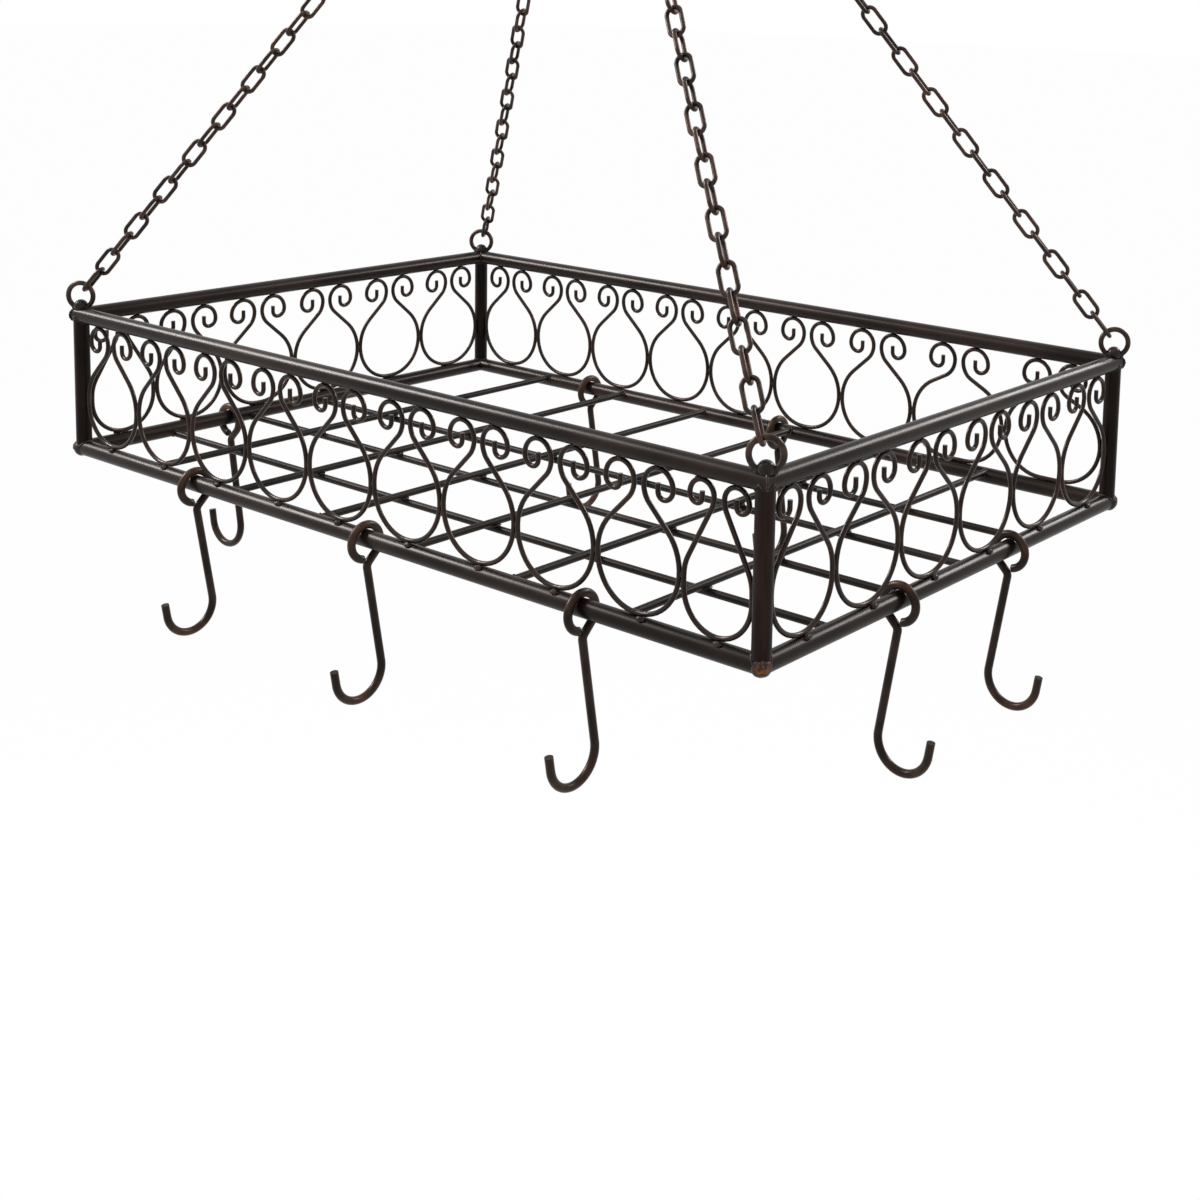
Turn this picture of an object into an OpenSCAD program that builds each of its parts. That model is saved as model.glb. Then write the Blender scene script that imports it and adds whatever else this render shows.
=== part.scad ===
// Hanging pot rack: a welded tube basket with scroll-work sides and a bar grid,
// hung by four chains from one ring on a ceiling screw hook, with eight pot hooks.
// The origin is where the screw hook's shank enters the ceiling, on the shank's axis.
// +Z is up, X runs along the long sides, and the front side is at -Y.

/* [Basket frame] */
// Length between the corner centre lines
frame_l = 718; // [600:1:800]
// Width between the corner centre lines
frame_w = 441; // [380:1:500]
// Height between the centre lines of the top and bottom rails
frame_h = 112; // [106:0.5:125]
// Outer diameter of the rails
tube_d = 12.7; // [11:0.1:13.5]
// Outer diameter of the corner posts
post_d = 12.5; // [10:0.1:12.5]
// Wall of the rails and posts
tube_wall = 1.2; // [0.8:0.1:2]
// Distance from a corner's centre to the ground-off face of a bottom corner
ground_reach = 7.7; // [7:0.1:8.2]

/* [Bottom grid] */
// Diameter of the grid bars
bar_d = 5.5; // [4:0.1:6]
// Distance from the left corners' centre lines to the first cross bar
cross_first = 102.5; // [92:0.5:110]
// Distance from the last cross bar to the right corners' centre lines
cross_last = 110.5; // [100:0.5:118]
// Distance from the front corners' centre lines to the first long bar
long_first = 81.5; // [72:0.5:92]
// Distance from the last long bar to the back corners' centre lines
long_last = 119.5; // [105:0.5:130]

/* [Scrolls] */
// Wire diameter of the scrolls
scroll_d = 3.4; // [2.5:0.1:4]
// Largest radius of a scroll's lower loop
loop_r = 33.5; // [30:0.1:34]
// Radius of the bend below a scroll's neck
neck_r = 15.9; // [12:0.1:16]
// Half the gap between the two wires at the neck, on centre lines
neck_half = 4; // [3:0.1:5]
// Radius of a curl's first bend, from the neck
curl_outer = 12; // [11:0.1:12.5]
// Radius of its second bend
curl_middle = 7.3; // [6.5:0.1:8]
// Radius of its last bend
curl_inner = 5; // [4:0.1:5.5]
// Straight end of a curl
curl_tip = 4.5; // [2:0.1:6]
// Gap between neighbouring scrolls, and between a scroll and a post
scroll_gap = 0.3; // [0.2:0.05:1]

/* [Pot hooks] */
// Wire diameter of a pot hook
hook_d = 6; // [5:0.1:6.5]
// Centre-line radius of a pot hook's eye
eye_r = 12.6; // [12:0.1:14]
// Length of the slanted run between the eye and the neck
hook_slant = 9; // [7:0.5:12]
// Centre-line radius of the bend at the neck
hook_neck_r = 5; // [4:0.5:8]
// Lean of the shank from upright, in degrees
shank_lean = 9.7; // [6:0.1:12]
// Length of the straight shank
shank_l = 73; // [50:1:90]
// Centre-line radius of the bottom bend
bend_r = 20.3; // [15:0.1:24]
// Length of the straight tip
hook_tip = 10; // [5:0.5:15]

/* [Rings and chains] */
// Wire diameter of a corner ring
corner_ring_d = 4; // [3:0.1:4.5]
// Centre-line radius of a corner ring
corner_ring_r = 10.5; // [9:0.1:12]
// Height of a corner ring's centre above the top rail's centre line
corner_ring_rise = 16.3; // [15:0.1:17]
// Wire diameter of the top ring
top_ring_d = 5; // [4:0.1:5]
// Centre-line radius of the top ring
top_ring_r = 20; // [19:0.1:26]
// Height of the top ring's centre above the top rails
chain_rise = 544; // [400:1:700]
// Wire diameter of a chain link
link_d = 3.2; // [2.5:0.1:3.4]
// Outer width of a chain link
link_w = 14; // [13.5:0.1:16]
// Spacing of the links that a chain is fitted to
link_pitch = 19.8; // [18:0.1:24]
// Angle between the two links that hang side by side on the top ring
link_spread = 13; // [12.5:0.1:16]

/* [Ceiling hook] */
// Diameter of the ceiling hook's shank, over its thread
screw_d = 5.8; // [5:0.1:6]
// Diameter of the ceiling hook's wire
crook_d = 6.4; // [5:0.1:6.5]
// Length of the shank's straight part above the ceiling
screw_l = 32; // [25:1:60]
// Length of the shank's point
point_l = 6; // [3:0.5:10]
// Straight neck below the ceiling
screw_neck = 8; // [3:0.5:20]
// Centre-line radius of the ceiling hook's bend
crook_r = 13; // [12.5:0.1:18]

/* [Hidden] */
$fn = 48;
bronze = [0.17, 0.14, 0.12];
bronze_worn = [0.24, 0.17, 0.13];

// Clearances
weld_gap = 0.03;     // between a cut end and the tube that it is welded to
hang_gap = 0.3;      // between a piece that hangs and what it hangs on
link_gap = 0.15;     // between two neighbouring links
bar_gap = 0.1;       // between crossing bars
bend_gap = 0.02;     // half of the hairline left between two bends of a wire
run_slack = 0.06;    // by which a straight run is thinner than the bends that it joins
run_in = 0.5;        // length of a run that lies inside the bends at its ends

tube_r = tube_d / 2;
half_l = frame_l / 2;
half_w = frame_w / 2;
top_reach = 1.5 * tube_d; // the top rails' tips stay whole
cross_bars = 6;
long_bars = 4;
cross_pitch = (frame_l - cross_first - cross_last) / (cross_bars - 1);
long_pitch = (frame_w - long_first - long_last) / (long_bars - 1);
curl_radii = [curl_outer, curl_middle, curl_inner];

// Widths of the scrolls along each side, as shares, seen from outside, from left to right
front_shares = [1, 1, 1, 1, 1, 1, 1, 1, 1, 0.79];
right_shares = [0.9, 1, 1, 1, 1, 1];
back_shares = [1.2, 1.2, 1, 1, 1, 1, 1, 1, 1];
left_shares = [1, 1, 1, 1, 0.9, 0.8];

// Sides: name, yaw of the outward direction, distance of its plane from the middle, length, scrolls
SIDES = [
    ["front", 0, half_w, frame_l, front_shares],
    ["right", 90, half_l, frame_w, right_shares],
    ["back", 180, half_w, frame_l, back_shares],
    ["left", 270, half_l, frame_w, left_shares]
];

// Corners: name, side of X, side of Y
CORNERS = [
    ["front_left", -1, -1],
    ["front_right", 1, -1],
    ["back_right", 1, 1],
    ["back_left", -1, 1]
];

// Pot hooks, each in a gap between two loops: name, side, number of scrolls to the left of the
// gap, seen from outside, distance to the gap's right, and 1 outward or -1 inward
POT_HOOKS = [
    ["front_1", 0, 2, 4.6, 1],
    ["front_2", 0, 5, -7.6, 1],
    ["front_3", 0, 8, -11.3, 1],
    ["right_1", 1, 2, 3.3, 1],
    ["right_2", 1, 4, 1, 1],
    ["back_1", 2, 7, 1.4, -1],
    ["back_2", 2, 4, -6.5, -1],
    ["left_1", 3, 4, -6.4, 1]
];

// Heights, from the ceiling down
crook_slope = 60;
crook_bend_r = crook_r * cos(crook_slope) / (1 - cos(crook_slope));
crook_z = -screw_neck - (crook_r + crook_bend_r) * sin(crook_slope);
top_ring_z = crook_z - crook_r + (crook_d + top_ring_d) / 2 + hang_gap - top_ring_r;
top_rail_z = top_ring_z - chain_rise;
bottom_rail_z = top_rail_z - frame_h;

// ---- wire in an upright plane: u runs along X, v along Z ----

// Bend of a wire: an arc about c from angle a0 to a1, counted from +X towards +Z
module wire_arc(c, r, a0, a1, d) {
    trim = bend_gap / r * 180 / PI;
    translate([c[0], 0, c[1]])
        rotate([90, 0, 0])
            rotate([0, 0, min(a0, a1) + trim])
                rotate_extrude(angle = abs(a1 - a0) - 2 * trim)
                    translate([r, 0]) circle(d = d);
}

// Closed round of wire
module wire_ring(r, d) {
    rotate([90, 0, 0])
        rotate_extrude()
            translate([r, 0]) circle(d = d);
}

// Straight run of a wire from point p to point q, a little way into the bends at its ends
module wire_run(p, q, d) {
    run = q - p;
    translate([p[0], 0, p[1]])
        rotate([0, atan2(run[0], run[1]), 0])
            translate([0, 0, -run_in])
                cylinder(d = d - run_slack, h = norm(run) + 2 * run_in);
}

// Core that joins two bends which meet at point p, where the wire heads along angle a
module wire_core(p, a, d) {
    wire_run(p - bend_gap * [cos(a), sin(a)], p + bend_gap * [cos(a), sin(a)], d);
}

// Point of a circle about c, at angle a
function on_circle(c, r, a) = c + r * [cos(a), sin(a)];

// ---- the basket's tubes ----

// Moves a side's own frame (X along the side, -Y outward) to its place
module at_side(side, z) {
    translate([0, 0, z])
        rotate([0, 0, side[1]])
            translate([0, -side[2], 0])
                children();
}

// Plan outline of a rail: mitred ends, with the outer tips cut back to reach
module mitre_outline(length, reach) {
    m = tube_r + 1;
    tip = min(reach * sqrt(2) - m, m);
    depth = reach * sqrt(2) - tip;
    half = length / 2;
    linear_extrude(height = 2 * m, center = true)
        polygon([
            [-half + m, m], [half - m, m],
            [half + reach / sqrt(2), -reach / sqrt(2)], [half + tip, -depth],
            [-half - tip, -depth], [-half - reach / sqrt(2), -reach / sqrt(2)]
        ]);
}

module rail(side, z, reach) {
    color(bronze)
        at_side(side, z)
            difference() {
                intersection() {
                    rotate([0, 90, 0]) cylinder(d = tube_d, h = side[3] + 4 * tube_d, center = true);
                    mitre_outline(side[3], reach);
                }
                rotate([0, 90, 0])
                    cylinder(d = tube_d - 2 * tube_wall, h = side[3] + 4 * tube_d, center = true);
            }
}

module top_rail(side) { rail(side, top_rail_z, top_reach); }

module bottom_rail(side) { rail(side, bottom_rail_z, ground_reach); }

// Form that cuts what is welded to a rail between the corners
module rail_cut(side, z) {
    at_side(side, z)
        rotate([0, 90, 0]) cylinder(d = tube_d + 2 * weld_gap, h = side[3] + 4 * tube_d, center = true);
}

// Form that cuts what is welded to a rail's mitred end, a little past the mitre
module mitre_cut(side, z) {
    past = 0.4;
    at_side(side, z)
        intersection() {
            rotate([0, 90, 0])
                cylinder(d = tube_d + 2 * weld_gap, h = side[3] + 4 * tube_d, center = true);
            mitre_outline(side[3] + 2 * past, top_reach);
        }
}

// The side along X and the side along Y that meet at a corner
function x_side(corner) = corner[2] < 0 ? SIDES[0] : SIDES[2];
function y_side(corner) = corner[1] < 0 ? SIDES[3] : SIDES[1];

// Upright tube of a corner, its ends shaped to the mitred rails
module corner_post(corner) {
    color(bronze_worn)
        difference() {
            translate([corner[1] * half_l, corner[2] * half_w, bottom_rail_z])
                difference() {
                    cylinder(d = post_d, h = frame_h);
                    translate([0, 0, -1]) cylinder(d = post_d - 2 * tube_wall, h = frame_h + 2);
                }
            mitre_cut(x_side(corner), top_rail_z);
            mitre_cut(y_side(corner), top_rail_z);
            mitre_cut(x_side(corner), bottom_rail_z);
            mitre_cut(y_side(corner), bottom_rail_z);
        }
}

// ---- scrolls ----

// One half of a scroll (the side of +X), in the frame of the bottom rail's centre line
module scroll_half(half_width) {
    r = min(half_width, loop_r);
    spread = half_width - r;
    scale_k = r / loop_r;
    low = tube_r + scroll_d / 2 + weld_gap;
    low_c = [spread, low + r];
    side_c = [spread, low + loop_r];
    top_z = frame_h - low;
    curl_r = curl_radii * scale_k;
    neck = [neck_half, top_z - curl_r[0]];
    // the bend below the neck is no larger than the height above the loop leaves room for
    inset = neck_half - spread;
    rise = neck[1] - side_c[1];
    room = 0.95 * (rise * rise + inset * inset - r * r) / (2 * (r - inset));
    below_r = min(neck_r, room);
    neck_c = neck + [below_r, 0];
    leave = atan2(neck_c[1] - side_c[1], neck_c[0] - side_c[0])
        - acos((r + below_r) / norm(neck_c - side_c));
    curl_c = [neck[0] + curl_r[0], neck[1]];
    inner_c = curl_c + [curl_r[0] - curl_r[1], 0];
    last_c = inner_c - [0, curl_r[1] - curl_r[2]];
    // loop
    if (spread > 0) wire_run([0, low], [spread, low], scroll_d);
    if (r < loop_r) {
        wire_arc(low_c, r, -90, 0, scroll_d);
        wire_run(low_c + [r, 0], side_c + [r, 0], scroll_d);
        wire_arc(side_c, r, 0, leave, scroll_d);
    } else {
        wire_arc(side_c, r, -90, leave, scroll_d);
    }
    // run up to the neck
    wire_run(on_circle(side_c, r, leave), on_circle(neck_c, below_r, 180 + leave), scroll_d);
    wire_arc(neck_c, below_r, 180, 180 + leave, scroll_d);
    wire_core(neck, 90, scroll_d);
    // curl
    wire_arc(curl_c, curl_r[0], 0, 180, scroll_d);
    wire_core(curl_c + [curl_r[0], 0], 90, scroll_d);
    wire_arc(inner_c, curl_r[1], -90, 0, scroll_d);
    wire_core(inner_c - [0, curl_r[1]], 0, scroll_d);
    wire_arc(last_c, curl_r[2], 180, 270, scroll_d);
    wire_run(last_c - [curl_r[2], 0], last_c - [curl_r[2], -curl_tip * scale_k], scroll_d);
}

// One scroll: a single wire, its loop on the bottom rail and its curls under the top rail
module scroll(half_width) {
    union() {
        scroll_half(half_width);
        wire_core([0, tube_r + scroll_d / 2 + weld_gap], 0, scroll_d);
    }
    mirror([1, 0, 0]) scroll_half(half_width);
}

// Sum of a list's first n numbers
function sum_of(list, n) = n < 1 ? 0 : list[n - 1] + sum_of(list, n - 1);

// Width of a scroll whose share is 1
function scroll_unit(side) = (side[3] - post_d) / sum_of(side[4], len(side[4]));

// Place of the right end of a side's first n scrolls, from the side's middle
function scroll_edge(side, n) = scroll_unit(side) * sum_of(side[4], n) - (side[3] - post_d) / 2;

// The scrolls of one side, each touching the next within scroll_gap
module scrolls(side) {
    color(bronze)
        at_side(side, bottom_rail_z)
            for (i = [0:len(side[4]) - 1])
                translate([(scroll_edge(side, i) + scroll_edge(side, i + 1)) / 2, 0, 0])
                    scroll((scroll_unit(side) * side[4][i] - scroll_d - scroll_gap) / 2);
}

// ---- bottom grid ----

// Bar along X between two rails a span apart, lifted off the rails' centre line
module grid_bar(span, lift) {
    inside = tube_r / 2;
    rotate([0, 90, 0])
        translate([-lift, 0, 0]) cylinder(d = bar_d, h = span - 2 * inside, center = true);
}

// Bar across the basket, laid on the long bars and welded to the front and back rails
module cross_bar(i) {
    lift = (bar_d + bar_gap) / 2;
    color(bronze)
        difference() {
            translate([cross_first - half_l + i * cross_pitch, 0, bottom_rail_z])
                rotate([0, 0, 90]) grid_bar(frame_w, lift);
            rail_cut(SIDES[0], bottom_rail_z);
            rail_cut(SIDES[2], bottom_rail_z);
        }
}

// Bar along the basket, welded to the left and right rails
module long_bar(i) {
    lift = -(bar_d + bar_gap) / 2;
    color(bronze)
        difference() {
            translate([0, long_first - half_w + i * long_pitch, bottom_rail_z])
                grid_bar(frame_l, lift);
            rail_cut(SIDES[1], bottom_rail_z);
            rail_cut(SIDES[3], bottom_rail_z);
        }
}

// ---- corner rings ----

// All four rings stand in upright planes along one diagonal of the basket
ring_yaw = atan2(frame_w, frame_l);

// Place of a corner ring's centre
function ring_centre(corner) =
    [corner[1] * half_l, corner[2] * half_w, top_rail_z + corner_ring_rise];

// Ring standing on a corner's mitre in a lump of weld
module corner_ring(corner) {
    lump_r = 5.6;
    lump_rise = 1.2;
    bead_r = 2.6;
    bead_reach = 5;
    color(bronze_worn)
        difference() {
            union() {
                translate(ring_centre(corner))
                    rotate([0, 0, ring_yaw])
                        wire_ring(corner_ring_r, corner_ring_d);
                translate([corner[1] * half_l, corner[2] * half_w, top_rail_z])
                    rotate([0, 0, ring_yaw]) {
                        translate([0, 0, tube_r + lump_rise]) sphere(r = lump_r);
                        for (end = [-1, 1]) translate([bead_reach * end, 0, tube_r]) sphere(r = bead_r);
                    }
            }
            mitre_cut(x_side(corner), top_rail_z);
            mitre_cut(y_side(corner), top_rail_z);
        }
}

// ---- chains ----

function unit_of(v) = v / norm(v);

// Direction of a chain's pull at its corner ring, as if it ran to the top ring's centre
function pull(corner) = unit_of([0, 0, top_ring_z] - ring_centre(corner));

ring_dir = [cos(ring_yaw), sin(ring_yaw), 0];

// Angle from the ring's top, towards ring_dir, at which the chain's first link hangs
function seat_angle(corner) = atan2(pull(corner) * ring_dir, pull(corner)[2]);

// Centre of the corner ring's wire there, and the wire's direction
function foot(corner) = ring_centre(corner)
    + corner_ring_r * (sin(seat_angle(corner)) * ring_dir + [0, 0, cos(seat_angle(corner))]);
function foot_dir(corner) = cos(seat_angle(corner)) * ring_dir - [0, 0, sin(seat_angle(corner))];

// Angle from the top ring's lowest point at which the chain's last link hangs:
// the two links of one end lie side by side there
function head_angle(corner) = corner[1] * (atan2(half_l, chain_rise) + corner[2] * link_spread / 2);
function head(corner) = [0, 0, top_ring_z]
    + top_ring_r * [sin(head_angle(corner)), 0, -cos(head_angle(corner))];
function head_dir(corner) = [cos(head_angle(corner)), 0, sin(head_angle(corner))];

// Roll about the chain of a link whose flat side faces along face
function roll_for(face, yaw, lean) = atan2(
    -face * [cos(lean) * cos(yaw), cos(lean) * sin(yaw), -sin(lean)],
    face * [-sin(yaw), cos(yaw), 0]);

// One link, long along Z, centred, flat in the XZ plane
module link(inner_l) {
    r = (link_w - link_d) / 2;
    v = (inner_l + link_d) / 2 - r;
    wire_arc([0, v], r, 0, 180, link_d);
    wire_arc([0, -v], r, 180, 360, link_d);
    for (end = [-1, 1]) wire_run([end * r, -v], [end * r, v], link_d);
}

// Taut chain from its corner ring to the top ring, every link turned from the last
module chain(corner) {
    run = head(corner) - foot(corner);
    yaw = atan2(run[1], run[0]);
    lean = acos(run[2] / norm(run));
    start = -corner_ring_d / 2 - hang_gap;
    total = norm(run) + (corner_ring_d + top_ring_d) / 2 + 2 * hang_gap + link_gap;
    count = round(total / link_pitch);
    pitch = total / count;
    first_roll = roll_for(foot_dir(corner), yaw, lean);
    last_roll = roll_for(head_dir(corner), yaw, lean);
    // turn left over after quarter turns, shared out among the links
    rest = (last_roll - first_roll - 90 * (count - 1)) % 180;
    spare = rest > 90 ? rest - 180 : rest < -90 ? rest + 180 : rest;
    turn = 90 + spare / (count - 1);
    color(bronze)
        translate(foot(corner))
            rotate([0, lean, yaw])
                for (k = [0:count - 1])
                    translate([0, 0, start - link_gap / 2 + (k + 0.5) * pitch])
                        rotate([0, 0, first_roll + k * turn])
                            link(pitch + link_gap);
}

// ---- top ring and ceiling hook ----

module top_ring() {
    color(bronze)
        translate([0, 0, top_ring_z]) wire_ring(top_ring_r, top_ring_d);
}

// Screw hook in the plane across the top ring, its shank up in the ceiling
module ceiling_hook() {
    mouth_angle = 165;
    point_r = 0.4;
    bend_c = [crook_bend_r, -screw_neck];
    meet = on_circle([0, crook_z], crook_r, crook_slope);
    color(bronze)
        rotate([0, 0, 90]) {
            rotate_extrude()
                polygon([
                    [0, bend_gap - screw_neck], [crook_d / 2, bend_gap - screw_neck],
                    [crook_d / 2, 0], [screw_d / 2, 0], [screw_d / 2, screw_l],
                    [point_r, screw_l + point_l], [0, screw_l + point_l]
                ]);
            wire_core([0, -screw_neck], 90, crook_d);
            wire_arc(bend_c, crook_bend_r, 180, 180 + crook_slope, crook_d);
            wire_core(meet, crook_slope + 90, crook_d);
            wire_arc([0, crook_z], crook_r, mouth_angle - 360, crook_slope, crook_d);
        }
}

// ---- pot hooks ----

// Pot hook on a rail whose centre line is the Y axis, tip towards +X
module pot_hook_form() {
    leave = 225;
    eye_c = [0, tube_r + hook_d / 2 + hang_gap - eye_r];
    slant_end = on_circle(eye_c, eye_r, leave) + hook_slant * [cos(leave + 90), sin(leave + 90)];
    neck_c = slant_end + hook_neck_r * [cos(leave), sin(leave)];
    shank_top = on_circle(neck_c, hook_neck_r, -shank_lean);
    shank_end = shank_top - shank_l * [sin(shank_lean), cos(shank_lean)];
    bend_c = shank_end + bend_r * [cos(shank_lean), -sin(shank_lean)];
    tip_start = on_circle(bend_c, bend_r, -shank_lean);
    tip_end = tip_start + hook_tip * [sin(shank_lean), cos(shank_lean)];
    wire_arc(eye_c, eye_r, -78, leave, hook_d);
    wire_run(on_circle(eye_c, eye_r, leave), slant_end, hook_d);
    wire_arc(neck_c, hook_neck_r, -shank_lean, leave - 180, hook_d);
    wire_run(shank_top, shank_end, hook_d);
    wire_arc(bend_c, bend_r, -180 - shank_lean, -shank_lean, hook_d);
    wire_run(tip_start, tip_end, hook_d);
}

module pot_hook(place) {
    side = SIDES[place[1]];
    color(bronze_worn)
        at_side(side, bottom_rail_z)
            translate([scroll_edge(side, place[2]) + place[3], 0, 0])
                rotate([0, 0, -90 * place[4]])
                    pot_hook_form();
}

// ---- the nodes ----

ceiling_hook();
top_ring();
for (corner = CORNERS) {
    chain(corner);
    corner_ring(corner);
    corner_post(corner);
}
for (side = SIDES) {
    top_rail(side);
    bottom_rail(side);
    scrolls(side);
}
for (i = [0:cross_bars - 1])
    cross_bar(i);
for (i = [0:long_bars - 1])
    long_bar(i);
for (place = POT_HOOKS) pot_hook(place);
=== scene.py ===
"""Hanging pot rack: a welded basket of bronzed tube with scroll-work sides and a bar grid,
hung by four chains from one ring and a ceiling hook, with eight pot hooks on its bottom rails."""

from math import cos, pi, radians, sin, sqrt

import bmesh
import bpy
from mathutils import Matrix, Vector, noise


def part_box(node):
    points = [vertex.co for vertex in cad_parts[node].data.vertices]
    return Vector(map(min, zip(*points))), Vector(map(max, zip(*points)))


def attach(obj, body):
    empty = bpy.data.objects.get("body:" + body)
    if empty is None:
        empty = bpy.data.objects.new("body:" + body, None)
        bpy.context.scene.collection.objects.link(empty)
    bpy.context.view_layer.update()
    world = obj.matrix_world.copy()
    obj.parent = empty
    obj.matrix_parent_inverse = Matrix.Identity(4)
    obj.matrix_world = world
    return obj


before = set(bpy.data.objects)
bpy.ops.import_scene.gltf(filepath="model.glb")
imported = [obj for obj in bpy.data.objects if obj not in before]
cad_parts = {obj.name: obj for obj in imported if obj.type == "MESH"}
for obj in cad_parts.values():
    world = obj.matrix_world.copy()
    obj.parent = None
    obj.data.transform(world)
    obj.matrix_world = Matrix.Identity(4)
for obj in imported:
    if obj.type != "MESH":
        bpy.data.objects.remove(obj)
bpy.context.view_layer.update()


# ---- Rails ----
# Eight lengths of half-inch steel tube, mitred and welded into a top and a bottom frame.
# The paint is an oil-rubbed bronze: near black, browner in soft clouds, with a satin skin
# that shows faint draw lines along each tube.
rail_soot = (0.0045, 0.0030, 0.0026, 1)
rail_umber = (0.0240, 0.0145, 0.0115, 1)
rail_copper = (0.27, 0.092, 0.030, 1)
warm_gloss = (1.0, 0.87, 0.80, 1)


class Tone:
    """A value or colour that changes over the metal; sums on it add their nodes."""

    def __init__(self, tree, socket=None):
        self.tree = tree
        self.socket = socket

    def make(self, kind, settings=None, sockets=None, out=0):
        """Adds a node of this kind: its settings first, then its sockets' values or links."""
        node = self.tree.nodes.new(kind)
        for key, value in (settings or {}).items():
            setattr(node, key, value)
        for key, value in (sockets or {}).items():
            if isinstance(value, Tone):
                self.tree.links.new(value.socket, node.inputs[key])
            else:
                node.inputs[key].default_value = value
        return Tone(self.tree, node.outputs[out])

    def sum(self, operation, first, second):
        return self.make("ShaderNodeMath", {"operation": operation}, {0: first, 1: second})

    def __add__(self, other):
        return self.sum("ADD", self, other)

    def __radd__(self, other):
        return self.sum("ADD", other, self)

    def __sub__(self, other):
        return self.sum("SUBTRACT", self, other)

    def __rsub__(self, other):
        return self.sum("SUBTRACT", other, self)

    def __mul__(self, other):
        return self.sum("MULTIPLY", self, other)

    def __rmul__(self, other):
        return self.sum("MULTIPLY", other, self)

    def __gt__(self, other):
        return self.sum("GREATER_THAN", self, other)

    def __lt__(self, other):
        return self.sum("LESS_THAN", self, other)

    def __abs__(self):
        return self.make("ShaderNodeMath", {"operation": "ABSOLUTE"}, {0: self})

    def clouds(self, place, size, detail=2.0):
        """Soft patches about size metres across, from 0 to 1."""
        return self.make(
            "ShaderNodeTexNoise", {}, {"Vector": place, "Scale": 1 / size, "Detail": detail}
        )

    def between(self, low, high):
        """0 below low, 1 above high, smooth between."""
        return self.make(
            "ShaderNodeMapRange",
            {"interpolation_type": "SMOOTHSTEP"},
            {"Value": self, "From Min": low, "From Max": high},
        )

    def blend(self, first, second):
        """A colour that goes from first, where this is 0, to second, where it is 1."""
        return self.make(
            "ShaderNodeMix", {"data_type": "RGBA"}, {0: self, 6: first, 7: second}, out=2
        )

    def stretch(self, amounts):
        """A place scaled by its own amount along each direction."""
        return self.make(
            "ShaderNodeVectorMath", {"operation": "MULTIPLY"}, {0: self, 1: amounts}
        )

    def axis(self, letter):
        """One direction, X, Y or Z, of a place."""
        return self.make("ShaderNodeSeparateXYZ", {}, {0: self}, out=letter)


def finish(name, **fixed):
    """A new material with its constants set: its shader, its start, and the place on the piece."""
    material = bpy.data.materials.new(name)
    material.use_nodes = True
    shader = material.node_tree.nodes["Principled BSDF"]
    for key, value in fixed.items():
        shader.inputs[key.replace("_", " ")].default_value = value
    start = Tone(material.node_tree)
    return material, shader, start, start.make("ShaderNodeTexCoord", out="Object")


def feed(shader, **tones):
    """Joins what changes over the surface to the shader."""
    for key, tone in tones.items():
        tone.tree.links.new(tone.socket, shader.inputs[key.replace("_", " ")])


def skin(start, height, depth):
    """Surface relief from a height, depth metres deep."""
    return start.make("ShaderNodeBump", {}, {"Height": height, "Distance": depth, "Strength": 1.0})


def paint(material, *nodes):
    """Gives the material to the named CAD nodes."""
    for name in nodes:
        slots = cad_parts[name].data.materials
        slots.clear()
        slots.append(material)


def middle(node, axis):
    """The middle of a CAD node along one axis, 0 to 2."""
    low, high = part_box(node)
    return (low[axis] + high[axis]) / 2


# Half sizes and heights of the tubes' centre lines, from the rails themselves
half_w = -middle("bottom_rail_front", 1)
half_l = middle("bottom_rail_right", 0)
bottom_z = middle("bottom_rail_front", 2)
top_z = middle("top_rail_front", 2)
tube_r = (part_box("bottom_rail_front")[1][2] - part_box("bottom_rail_front")[0][2]) / 2


def past_corner(place):
    """How far a place lies outside the corner posts' centre lines, both ways added up."""
    return (abs(place.axis("X")) - half_l) + (abs(place.axis("Y")) - half_w)


# The copper rub on the bottom corners: from where it starts to where it is full,
# outwards past the post, down from its top, and up from its foot
rub_out = (0.0078, 0.0114)
rub_top = (0.009, 0.004)
rub_foot = (-0.0045, -0.0015)
rub_patch = 0.0035
rub_elsewhere = 0.12


def corner_wear(start, place):
    """1 where the tip of a bottom corner is rubbed to copper, mostly at the front right one."""
    x, y, z = (place.axis(letter) for letter in "XYZ")
    above_rail = z - bottom_z
    low = above_rail.between(*rub_top) * above_rail.between(*rub_foot)
    patches = start.clouds(place, size=rub_patch, detail=3).between(0.40, 0.60)
    front_right = rub_elsewhere + (1 - rub_elsewhere) * ((x > 0) * (y < 0))
    return past_corner(place).between(*rub_out) * low * patches * front_right


# Draw lines are finer across a tube than along it: their pattern's scale along the tube
draw_out = 0.06
for run, rails, drawn in (
    ("long", ("front", "back"), (draw_out, 1, 1)),
    ("short", ("left", "right"), (1, draw_out, 1)),
):
    material, shader, start, place = finish(
        "rail_bronze_" + run, Specular_IOR_Level=0.14, Specular_Tint=warm_gloss
    )
    cloud = start.clouds(place, size=0.085, detail=3).between(0.36, 0.70)
    lines = start.clouds(place.stretch(drawn), size=0.0011, detail=2)
    grain = start.clouds(place, size=0.0007, detail=1)
    wear = corner_wear(start, place)
    bronze = (cloud * 0.75 + lines * 0.25).blend(rail_soot, rail_umber)
    feed(
        shader,
        Base_Color=wear.blend(bronze, rail_copper),
        Roughness=0.24 + cloud * 0.05 + lines * 0.08,
        Normal=skin(start, lines * 0.6 + grain * 0.4, 0.000007),
    )
    paint(material, *(edge + "_rail_" + side for edge in ("top", "bottom") for side in rails))


# ---- Corner posts ----
# Four upright lengths of the same tube, coped at both ends onto the mitred corners.
# Hands and cloths have rubbed their outer edges to a warmer brown.
post_soot = (0.0030, 0.0018, 0.0015, 1)
post_warm = (0.034, 0.018, 0.014, 1)
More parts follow.
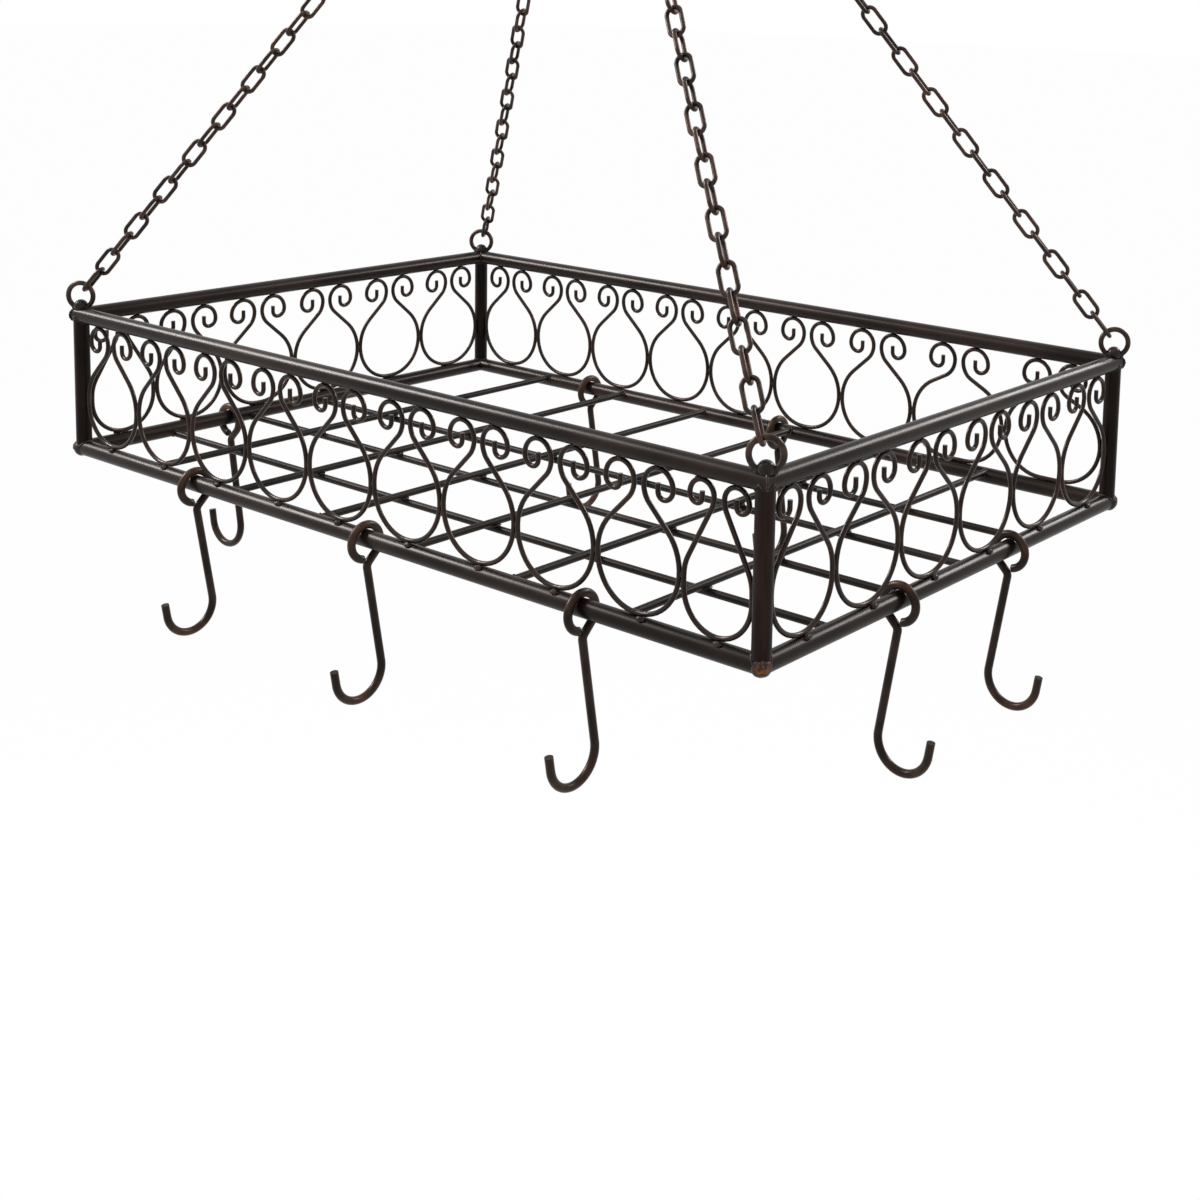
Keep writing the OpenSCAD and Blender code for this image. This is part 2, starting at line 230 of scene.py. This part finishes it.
# Where the warm edge starts and is full, outwards past the post's centre line
post_edge = (0.0035, 0.0088)
material, shader, start, place = finish(
    "post_bronze", Specular_IOR_Level=0.09, Specular_Tint=warm_gloss
)
cloud = start.clouds(place, size=0.05, detail=3).between(0.38, 0.68)
lines = start.clouds(place.stretch((1, 1, draw_out)), size=0.0011, detail=2)
outer = past_corner(place).between(*post_edge)
streaks = start.clouds(place.stretch((1, 1, 0.12)), size=0.004, detail=2).between(0.3, 0.7)
bronze = (cloud * 0.45 + lines * 0.2).blend(post_soot, rail_umber)
feed(
    shader,
    Base_Color=(outer * (0.35 + 0.65 * streaks)).blend(bronze, post_warm),
    Roughness=0.24 + cloud * 0.05 + lines * 0.08,
    Normal=skin(start, lines, 0.000015),
)
paint(material, *("corner_post_" + corner for corner in
                  ("front_left", "front_right", "back_right", "back_left")))


# ---- Corner welds ----
# Beads of weld round each post's two ends and over the mitres, laid by hand as a row of drops,
# and a rounded cap of weld on each bottom corner, all painted with the rest.
# A bead's own radius, the pitch of its drops, and how much drops and hand make it swell
bead_r = 0.00095
bead_sides = 8
drop_pitch = 0.0021
drop_swell = 0.22
hand_stray = 0.35
hand_grain = 400
end_taper = 0.45
lump_grain = 1.7
weld_soot = (0.010, 0.0072, 0.0062, 1)
weld_brown = (0.046, 0.028, 0.021, 1)

weld_paint, shader, start, place = finish(
    "weld_bronze", Specular_IOR_Level=0.24, Specular_Tint=warm_gloss
)
patch = start.clouds(place, size=0.006, detail=2).between(0.4, 0.65)
grain = start.clouds(place, size=0.0009, detail=2)
wear = corner_wear(start, place)
feed(
    shader,
    Base_Color=wear.blend(patch.blend(weld_soot, weld_brown), rail_copper),
    Roughness=0.30 + 0.18 * grain,
    Normal=skin(start, grain, 0.00005),
)


def lay_bead(bm, path, radius, closed, seed):
    """Lays one bead along path: a tube that swells at every drop and strays a little.

    A bead that goes all the way round is closed; seed makes each bead wobble in its own way."""
    count = len(path)
    rings = []
    walked = 0.0
    for i, point in enumerate(path):
        before = path[i - 1] if closed or i else path[i]
        after = path[(i + 1) % count] if closed or i < count - 1 else path[i]
        ahead = (after - before).normalized()
        walked += (point - before).length
        swell = 1 + drop_swell * cos(2 * pi * walked / drop_pitch)
        swell *= 1 + hand_stray * noise.noise(point * hand_grain + Vector((seed, 0, 0)))
        if not closed and i in (0, count - 1):
            swell *= end_taper
        side = ahead.orthogonal().normalized()
        over = ahead.cross(side)
        rings.append([
            bm.verts.new(point + radius * swell * (cos(t) * side + sin(t) * over))
            for t in (2 * pi * k / bead_sides for k in range(bead_sides))
        ])
    for i in range(count if closed else count - 1):
        ring, ahead_ring = rings[i], rings[(i + 1) % count]
        # the two rings' first corners may not line up: start at the nearest one
        shift = min(range(bead_sides), key=lambda s: (ring[0].co - ahead_ring[s].co).length)
        turned = ahead_ring[shift:] + ahead_ring[:shift]
        for k in range(bead_sides):
            n = (k + 1) % bead_sides
            bm.faces.new((ring[k], ring[n], turned[n], turned[k]))
    if not closed:
        for ring in (rings[0], rings[-1]):
            bm.faces.new(ring)


def set_drop(bm, centre, sizes, turn, seed, lumpy=0.28):
    """Sets one drop of weld: a ball drawn out along sizes, lumpy as it cooled."""
    made = bmesh.ops.create_icosphere(bm, subdivisions=3, radius=1)
    for vert in made["verts"]:
        lump = 1 + lumpy * noise.noise(vert.co * lump_grain + Vector((seed, seed * 0.7, 0)))
        shape = Vector(vert.co[i] * sizes[i] * lump for i in range(3))
        vert.co = centre + turn @ shape


def weld_piece(name, bm):
    """Makes one smooth piece of weld from bm, riding on the basket."""
    bmesh.ops.recalc_face_normals(bm, faces=bm.faces)
    mesh = bpy.data.meshes.new(name)
    bm.to_mesh(mesh)
    bm.free()
    for face in mesh.polygons:
        face.use_smooth = True
    piece = bpy.data.objects.new(name, mesh)
    bpy.context.collection.objects.link(piece)
    mesh.materials.append(weld_paint)
    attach(piece, "basket")
    return piece


# The foot bead follows the post's cope; a seam runs over each mitre, between two angles
# from its top, and the cap sits just outside and below the bottom rails' centre lines
post_r = 0.00625
foot_steps = 72
foot_thick = 0.8
seam_steps = 36
top_seam, bottom_seam = (-100, 135), (-80, 105)
cap_edge = 0.0061
cap_out, cap_down = 0.0013, 0.0003
cap_sizes = (0.0066, 0.0066, 0.0067)
for corner, sx, sy in (
    ("front_left", -1, -1), ("front_right", 1, -1), ("back_right", 1, 1), ("back_left", -1, 1)
):
    bm = bmesh.new()
    for z, upward in ((bottom_z, 1), (top_z, -1)):
        foot = []
        for k in range(foot_steps):
            turn = 2 * pi * k / foot_steps
            x, y = post_r * cos(turn), post_r * sin(turn)
            beside = y if x < y else x
            rise = sqrt(max(tube_r ** 2 - beside ** 2, 0))
            foot.append(Vector((sx * (half_l + x), sy * (half_w + y), z + upward * rise)))
        lay_bead(bm, foot, bead_r * foot_thick, closed=True, seed=sx + 3 * sy + z * 9)
    for z, (first, last), most, thick in (
        (top_z, top_seam, tube_r, 1.0), (bottom_z, bottom_seam, cap_edge, 0.6)
    ):
        seam = []
        for k in range(seam_steps):
            turn = radians(first + (last - first) * k / (seam_steps - 1))
            reach = min(tube_r * sin(turn), most)
            seam.append(Vector((
                sx * (half_l + reach), sy * (half_w + reach), z + tube_r * cos(turn)
            )))
        lay_bead(bm, seam, bead_r * thick, closed=False, seed=5 * sx + sy + z * 7)
    tip = Vector((sx * (half_l + cap_out), sy * (half_w + cap_out), bottom_z - cap_down))
    set_drop(bm, tip, cap_sizes, Matrix.Identity(3), seed=2 * sx + sy, lumpy=0.1)
    weld_piece("corner_weld_" + corner, bm)


# ---- Scrolls ----
# Thirty-one scrolls, each bent from one round wire: a loop that stands on the bottom rail,
# crossing to a neck, and two curls that hang from the top rail.
# Their paint is rubbed browner than the tubes'.
wire_soot = (0.0075, 0.0046, 0.0036, 1)
wire_brown = (0.038, 0.0205, 0.0145, 1)
material, shader, start, place = finish(
    "scroll_bronze", Specular_IOR_Level=0.22, Specular_Tint=warm_gloss
)
cloud = start.clouds(place, size=0.03, detail=3).between(0.35, 0.68)
grain = start.clouds(place, size=0.0011, detail=2)
feed(
    shader,
    Base_Color=(cloud * 0.7 + grain * 0.3).blend(wire_soot, wire_brown),
    Metallic=0.03 + cloud * 0.12,
    Roughness=0.20 + grain * 0.12,
    Normal=skin(start, grain, 0.000014),
)
paint(material, "scrolls_front", "scrolls_right", "scrolls_back", "scrolls_left")


# ---- Scroll welds ----
# One drop of weld on the outer side of each loop's foot, one on each curl's top,
# and a tack where neighbouring loops touch.
# Each kind of drop has its half sizes and its place: along from the loop's middle,
# out from the rails' centre lines, and up from the bottom rail's or down from the top rail's
foot_drop, foot_along, foot_out, foot_up = (0.0033, 0.0019, 0.0019), 0.003, 0.0034, 0.0060
curl_drop, curl_along, curl_out, curl_down = (0.0021, 0.0012, 0.0009), 0.016, 0.0016, 0.0070
tack_drop, tack_up = (0.0009, 0.0012, 0.0022), 0.0415
drop_stray = 0.004
# How wide each scroll of a side is, as shares of that side's full pitch
shares = {
    "front": [1] * 9 + [0.79],
    "right": [0.9] + [1] * 5,
    "back": [1.2, 1.2] + [1] * 7,
    "left": [1, 1, 1, 1, 0.9, 0.8],
}
for number, (side, yaw, out, length) in enumerate((
    ("front", 0, half_w, 2 * half_l),
    ("right", 90, half_l, 2 * half_w),
    ("back", 180, half_w, 2 * half_l),
    ("left", 270, half_l, 2 * half_w),
)):
    turn = Matrix.Rotation(radians(yaw), 3, "Z")
    span = length - 2 * post_r
    unit = span / sum(shares[side])
    bm = bmesh.new()
    edge = -span / 2
    for i, share in enumerate(shares[side]):
        middle_x = edge + unit * share / 2
        seed = number * 31 + i
        stray = drop_stray * noise.noise(Vector((seed * 1.37, 2.2, 0.4)))
        drops = [((middle_x + foot_along + stray, -foot_out, foot_up), foot_drop)]
        drops += [
            ((middle_x + hand * curl_along + stray / 3, -curl_out, top_z - bottom_z - curl_down),
             curl_drop)
            for hand in (-1, 1)
        ]
        if i:
            drops.append(((edge, 0, tack_up), tack_drop))
        for k, (spot, sizes) in enumerate(drops):
            centre = turn @ Vector((spot[0], spot[1] - out, 0))
            centre.z = bottom_z + spot[2]
            set_drop(bm, centre, sizes, turn, seed=seed + k * 0.31)
        edge += unit * share
    weld_piece("scroll_welds_" + side, bm)


# ---- Grid ----
# Six cross bars laid over four long bars, all of one round rod, welded end-on to the rails.
# Their tops are dusty and greyer than the tubes.
bar_soot = (0.0050, 0.0036, 0.0030, 1)
bar_grey = (0.025, 0.0205, 0.0185, 1)
crosses = [f"cross_bar_{n}" for n in range(1, 7)]
longs = [f"long_bar_{n}" for n in range(1, 5)]
for kind, bars, drawn in (
    ("cross", crosses, (1, draw_out, 1)), ("long", longs, (draw_out, 1, 1))
):
    material, shader, start, place = finish(
        kind + "_bar_bronze", Specular_IOR_Level=0.11, Specular_Tint=warm_gloss
    )
    dust = start.clouds(place, size=0.045, detail=3).between(0.32, 0.7)
    lines = start.clouds(place.stretch(drawn), size=0.0010, detail=2)
    feed(
        shader,
        Base_Color=(dust * 0.7 + lines * 0.3).blend(bar_soot, bar_grey),
        Roughness=0.33 + lines * 0.14,
        Normal=skin(start, lines, 0.000015),
    )
    paint(material, *bars)


# ---- Grid welds ----
# A bead round each bar's end where it meets its rail, and a pad of weld in the corners
# of every crossing.
bar_r = 0.00275
collar_bead_r = 0.00085
collar_steps = 24
pad_sizes = (0.0036, 0.0036, 0.0013)
pad_turn = Matrix.Rotation(radians(45), 3, "Z")
bm = bmesh.new()
ends = [(name, 0, 1) for name in crosses] + [(name, 1, 0) for name in longs]
for name, still, along in ends:
    low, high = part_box(name)
    level = (low.z + high.z) / 2
    across = (low[still] + high[still]) / 2
    for hand in (-1, 1):
        collar = []
        for k in range(collar_steps):
            t = 2 * pi * k / collar_steps
            rise = level + bar_r * sin(t)
            inward = sqrt(max(tube_r ** 2 - (rise - bottom_z) ** 2, 0))
            spot = Vector((0, 0, rise))
            spot[still] = across + bar_r * cos(t)
            spot[along] = hand * ((half_w if along else half_l) - inward)
            collar.append(spot)
        lay_bead(bm, collar, collar_bead_r, closed=True, seed=across * 90 + hand)
for i, cross in enumerate(crosses):
    for j, long_bar in enumerate(longs):
        x = middle(cross, 0)
        y = middle(long_bar, 1)
        level = (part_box(cross)[0].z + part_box(long_bar)[1].z) / 2
        set_drop(bm, Vector((x, y, level)), pad_sizes, pad_turn, seed=i + 7 * j)
weld_piece("grid_welds", bm)


# ---- Corner rings ----
# Four closed rings of round wire, each standing on a mitre in a lump of weld;
# the chains have rubbed their crowns brown, and a brown highlight is painted on the crowns too.
# The lighter brown of the crowns: rubbed by the chains, and a painted highlight
ring_rub_and_highlight = (0.082, 0.044, 0.031, 1)
# Where the rub and the painted highlight start and are full, up from the top rails' centre lines
crown_rub_and_highlight = (0.009, 0.020)
material, shader, start, place = finish("corner_ring_bronze", Specular_IOR_Level=0.2)
grain = start.clouds(place, size=0.0012, detail=2)
patch = start.clouds(place, size=0.007, detail=2).between(0.35, 0.65)
# Rub with a painted highlight: the crowns are painted lighter brown and a little metallic
rubbed_and_highlit = (place.axis("Z") - top_z).between(*crown_rub_and_highlight)
feed(
    shader,
    Base_Color=(rubbed_and_highlit * (0.25 + 0.6 * patch)).blend(
        (patch * 0.6).blend(weld_soot, weld_brown), ring_rub_and_highlight),
    Metallic=rubbed_and_highlit * 0.25,
    Roughness=0.25 + 0.14 * grain,
    Normal=skin(start, grain, 0.00004),
)
paint(material, *("corner_ring_" + corner for corner in
                  ("front_left", "front_right", "back_right", "back_left")))


# ---- Chains ----
# Four straight-link chains of thirty-three links each, every link turned a quarter from the last.
# Their links rub together, so they shine warmer than the frame.
link_soot = (0.0125, 0.0080, 0.0066, 1)
link_brown = (0.082, 0.045, 0.034, 1)
material, shader, start, place = finish(
    "chain_bronze", Specular_IOR_Level=0.24, Specular_Tint=warm_gloss
)
cloud = start.clouds(place, size=0.018, detail=3).between(0.36, 0.66)
grain = start.clouds(place, size=0.0011, detail=2)
feed(
    shader,
    Base_Color=(cloud * 0.75 + grain * 0.2).blend(link_soot, link_brown),
    Metallic=0.06 + 0.2 * cloud,
    Roughness=0.24 + 0.14 * grain,
    Normal=skin(start, grain, 0.000018),
)
paint(material, "chain_front_left", "chain_front_right", "chain_back_right", "chain_back_left")


# ---- Top ring and ceiling hook ----
# One heavy ring carries all four chains on a screw hook, turned from round rod.
# The ring and crook are painted, and the screw that goes into the ceiling is bare zinc.
material, shader, start, place = finish("top_ring_bronze", Specular_IOR_Level=0.3, Metallic=0.1)
cloud = start.clouds(place, size=0.014, detail=3).between(0.35, 0.66)
grain = start.clouds(place, size=0.0012, detail=2)
feed(
    shader,
    Base_Color=(cloud * 0.8 + grain * 0.1).blend(link_soot, link_brown),
    Roughness=0.26 + 0.15 * grain,
    Normal=skin(start, grain, 0.000018),
)
paint(material, "top_ring")

zinc = (0.20, 0.185, 0.165, 1)
material, shader, start, place = finish("ceiling_hook_bronze", Specular_IOR_Level=0.3)
cloud = start.clouds(place, size=0.016, detail=3).between(0.35, 0.66)
grain = start.clouds(place, size=0.0012, detail=2)
bare = place.axis("Z").between(-0.001, 0.0005)
feed(
    shader,
    Base_Color=bare.blend((cloud * 0.7 + grain * 0.2).blend(link_soot, link_brown), zinc),
    Metallic=0.1 + 0.75 * bare,
    Roughness=0.28 + 0.16 * grain,
    Normal=skin(start, grain, 0.000018),
)
paint(material, "ceiling_hook")


# ---- Screw thread ----
# The coarse wood-screw thread rolled on the ceiling hook's shank, a single ridge
# that winds up from the ceiling and dies out on the point.
thread_pitch = 0.0028
thread_start, thread_end = 0.003, 0.0012
point_length, point_taper = 0.006, 0.8
core_r, crest_rise = 0.0029, 0.00025
root_half, crest_half = 0.0007, 0.00015
per_turn = 28
shank_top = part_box("ceiling_hook")[1].z
point_z = shank_top - point_length
bm = bmesh.new()
rows = []
turns = (shank_top - thread_end - thread_start) / thread_pitch
for k in range(int(turns * per_turn) + 1):
    turn = 2 * pi * k / per_turn
    z = thread_start + thread_pitch * k / per_turn
    into_point = max(z - point_z, 0) / (shank_top - point_z)
    taper = max(1 - point_taper * into_point, 0.1)
    core = core_r * taper
    ridge = core + crest_rise * taper * min(1, k / per_turn * 2)
    around = Vector((cos(turn), sin(turn), 0))
    rows.append([
        bm.verts.new(around * reach + Vector((0, 0, z + rise)))
        for reach, rise in (
            (core, -root_half), (ridge, -crest_half), (ridge, crest_half), (core, root_half)
        )
    ])
for row, after in zip(rows, rows[1:]):
    for k in range(3):
        bm.faces.new((row[k], row[k + 1], after[k + 1], after[k]))
bmesh.ops.recalc_face_normals(bm, faces=bm.faces)
mesh = bpy.data.meshes.new("screw_thread")
bm.to_mesh(mesh)
bm.free()
thread = bpy.data.objects.new("screw_thread", mesh)
bpy.context.collection.objects.link(thread)
mesh.materials.append(material)
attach(thread, "ceiling_hook")


# ---- Pot hooks ----
# Eight hooks bent from one length of rod each: an eye that hangs loose on the rail,
# a leaning shank and a round bottom bend. Pans have rubbed the bends to brown, with a brown
# highlight painted over the bottom bend and the eye's top, and the sawn tip shows a paler face.
hook_soot = (0.0075, 0.0044, 0.0030, 1)
hook_brown = (0.036, 0.020, 0.013, 1)
# Brown of the rubbed bends, which also stands in for a painted highlight on them
hook_rub_and_highlight = (0.110, 0.058, 0.037, 1)
hook_steel = (0.19, 0.165, 0.145, 1)
hooks = [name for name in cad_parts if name.startswith("pot_hook_")]
hook_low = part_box("pot_hook_front_1")[0].z
hook_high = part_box("pot_hook_front_1")[1].z
# The sawn face: its height over the lowest point, how far it may lie from that, how level it is
tip_up, tip_depth, tip_level = 0.0365, 0.004, 0.9
tip_z = hook_low + tip_up
# Where the rub and the painted highlight start and are full: down towards the bend's foot, and up
# towards the eye's top
bend_rub_and_highlight, eye_rub_and_highlight = (0.020, 0.004), (-0.026, -0.008)
material, shader, start, place = finish(
    "pot_hook_bronze", Specular_IOR_Level=0.18, Specular_Tint=warm_gloss
)
height = place.axis("Z")
cloud = start.clouds(place, size=0.02, detail=3).between(0.36, 0.66)
grain = start.clouds(place, size=0.0011, detail=2)
bends_rub_and_highlight = (height - hook_low).between(*bend_rub_and_highlight) + (height - hook_high).between(*eye_rub_and_highlight)
upward = start.make("ShaderNodeTexCoord", out="Normal").axis("Z")
at_tip = (height > tip_z - tip_depth) * (height < tip_z + tip_depth)
sawn = (upward > tip_level) * at_tip
# Rub with a painted highlight: brown on the bottom bend and the eye's top
rubbed_and_highlit = bends_rub_and_highlight * (0.08 + 0.42 * cloud)
bronze = (cloud * 0.7 + grain * 0.2).blend(hook_soot, hook_brown)
feed(
    shader,
    Base_Color=sawn.blend(rubbed_and_highlit.blend(bronze, hook_rub_and_highlight), hook_steel),
    Metallic=0.04 + 0.25 * rubbed_and_highlit,
    Roughness=0.25 + 0.13 * grain,
    Normal=skin(start, grain, 0.000018),
)
paint(material, *hooks)


# ---- Studio ----
# A pale floor a good way under the hanging rack, a white surround, and three soft boxes:
# one high at the front left, one behind on the right, and a broad weak one overhead.
floor_reach, floor_drop = 40, 1.1
floor_matt, floor_white = 0.90, 0.98
# What lights the rack, of a surround that is seen as 1
surround_light = 0.4


def seen_plainly(start):
    """1 for rays that see the surround as white: the camera's, and those in gloss and glass."""
    seen = start.make("ShaderNodeLightPath", out="Is Camera Ray")
    seen += start.make("ShaderNodeLightPath", out="Is Glossy Ray")
    return seen + start.make("ShaderNodeLightPath", out="Is Transmission Ray")


floor_mesh = bpy.data.meshes.new("floor")
floor_mesh.from_pydata(
    [(x * floor_reach, y * floor_reach, 0) for x, y in ((-1, -1), (1, -1), (1, 1), (-1, 1))],
    [], [(0, 1, 2, 3)],
)
floor = bpy.data.objects.new("floor", floor_mesh)
floor.location.z = hook_low - floor_drop
bpy.context.collection.objects.link(floor)
chalk = bpy.data.materials.new("chalk_floor")
chalk.use_nodes = True
chalk.node_tree.nodes.clear()
start = Tone(chalk.node_tree)
matt = start.make("ShaderNodeBsdfDiffuse", {}, {"Color": (floor_matt, floor_matt, floor_matt, 1)})
white = start.make("ShaderNodeEmission", {}, {"Color": (1, 1, 1, 1), "Strength": 1.0})
mixed = start.make(
    "ShaderNodeMixShader", {}, {0: seen_plainly(start) * floor_white, 1: matt, 2: white}
)
end = chalk.node_tree.nodes.new("ShaderNodeOutputMaterial")
chalk.node_tree.links.new(mixed.socket, end.inputs["Surface"])
floor_mesh.materials.append(chalk)

world = bpy.data.worlds.new("surround")
bpy.context.scene.world = world
world.use_nodes = True
world.node_tree.nodes.clear()
start = Tone(world.node_tree)
strength = surround_light + (1 - surround_light) * seen_plainly(start)
glow = start.make("ShaderNodeBackground", {}, {"Color": (1, 1, 1, 1), "Strength": strength})
end = world.node_tree.nodes.new("ShaderNodeOutputWorld")
world.node_tree.links.new(glow.socket, end.inputs["Surface"])

rack_middle = Vector((0, 0, (top_z + bottom_z) / 2))
for name, spot, wide, high, power in (
    ("left_box", Vector((-2.0, -0.95, 0.85)), 0.5, 0.9, 74),
    ("back_box", Vector((0.9, 2.0, 0.6)), 0.9, 0.5, 36),
    ("overhead_box", Vector((0.2, -0.5, 1.5)), 1.2, 1.2, 6),
):
    light = bpy.data.lights.new(name, "AREA")
    light.shape = "RECTANGLE"
    light.size = wide
    light.size_y = high
    light.energy = power
    box = bpy.data.objects.new(name, light)
    box.location = spot
    box.rotation_euler = (rack_middle - spot).to_track_quat("-Z", "Y").to_euler()
    bpy.context.collection.objects.link(box)


# ---- Camera ----
# Off the front right corner, 1.4 m from the rack's middle and a little above the basket,
# with the frame shifted so that the basket fills the upper half of the picture.
# In the picture's own pixels: its side, the lens's length, and where the lens's axis meets it
picture, focal = 1200, 1757
axis_x, axis_y = 815.58, 205.45
stand = (0.970, -1.0089, -0.3104)
azimuth, elevation, roll = radians(-53.626), radians(7.308), radians(1.656)
look = -Vector((cos(elevation) * cos(azimuth), cos(elevation) * sin(azimuth), sin(elevation)))
level = look.cross(Vector((0, 0, 1))).normalized()
upright = level.cross(look)
right = cos(roll) * level + sin(roll) * upright
up = cos(roll) * upright - sin(roll) * level
lens = bpy.data.cameras.new("camera")
lens.sensor_fit = "HORIZONTAL"
lens.sensor_width = 36
lens.lens = focal / picture * lens.sensor_width
lens.shift_x = (picture / 2 - axis_x) / picture
lens.shift_y = (axis_y - picture / 2) / picture
lens.clip_start = 0.05
lens.clip_end = 200
camera = bpy.data.objects.new("camera", lens)
bpy.context.collection.objects.link(camera)
camera.matrix_world = Matrix((right, up, -look)).transposed().to_4x4()
camera.location = stand
bpy.context.scene.camera = camera
bpy.context.scene.view_settings.view_transform = "Standard"
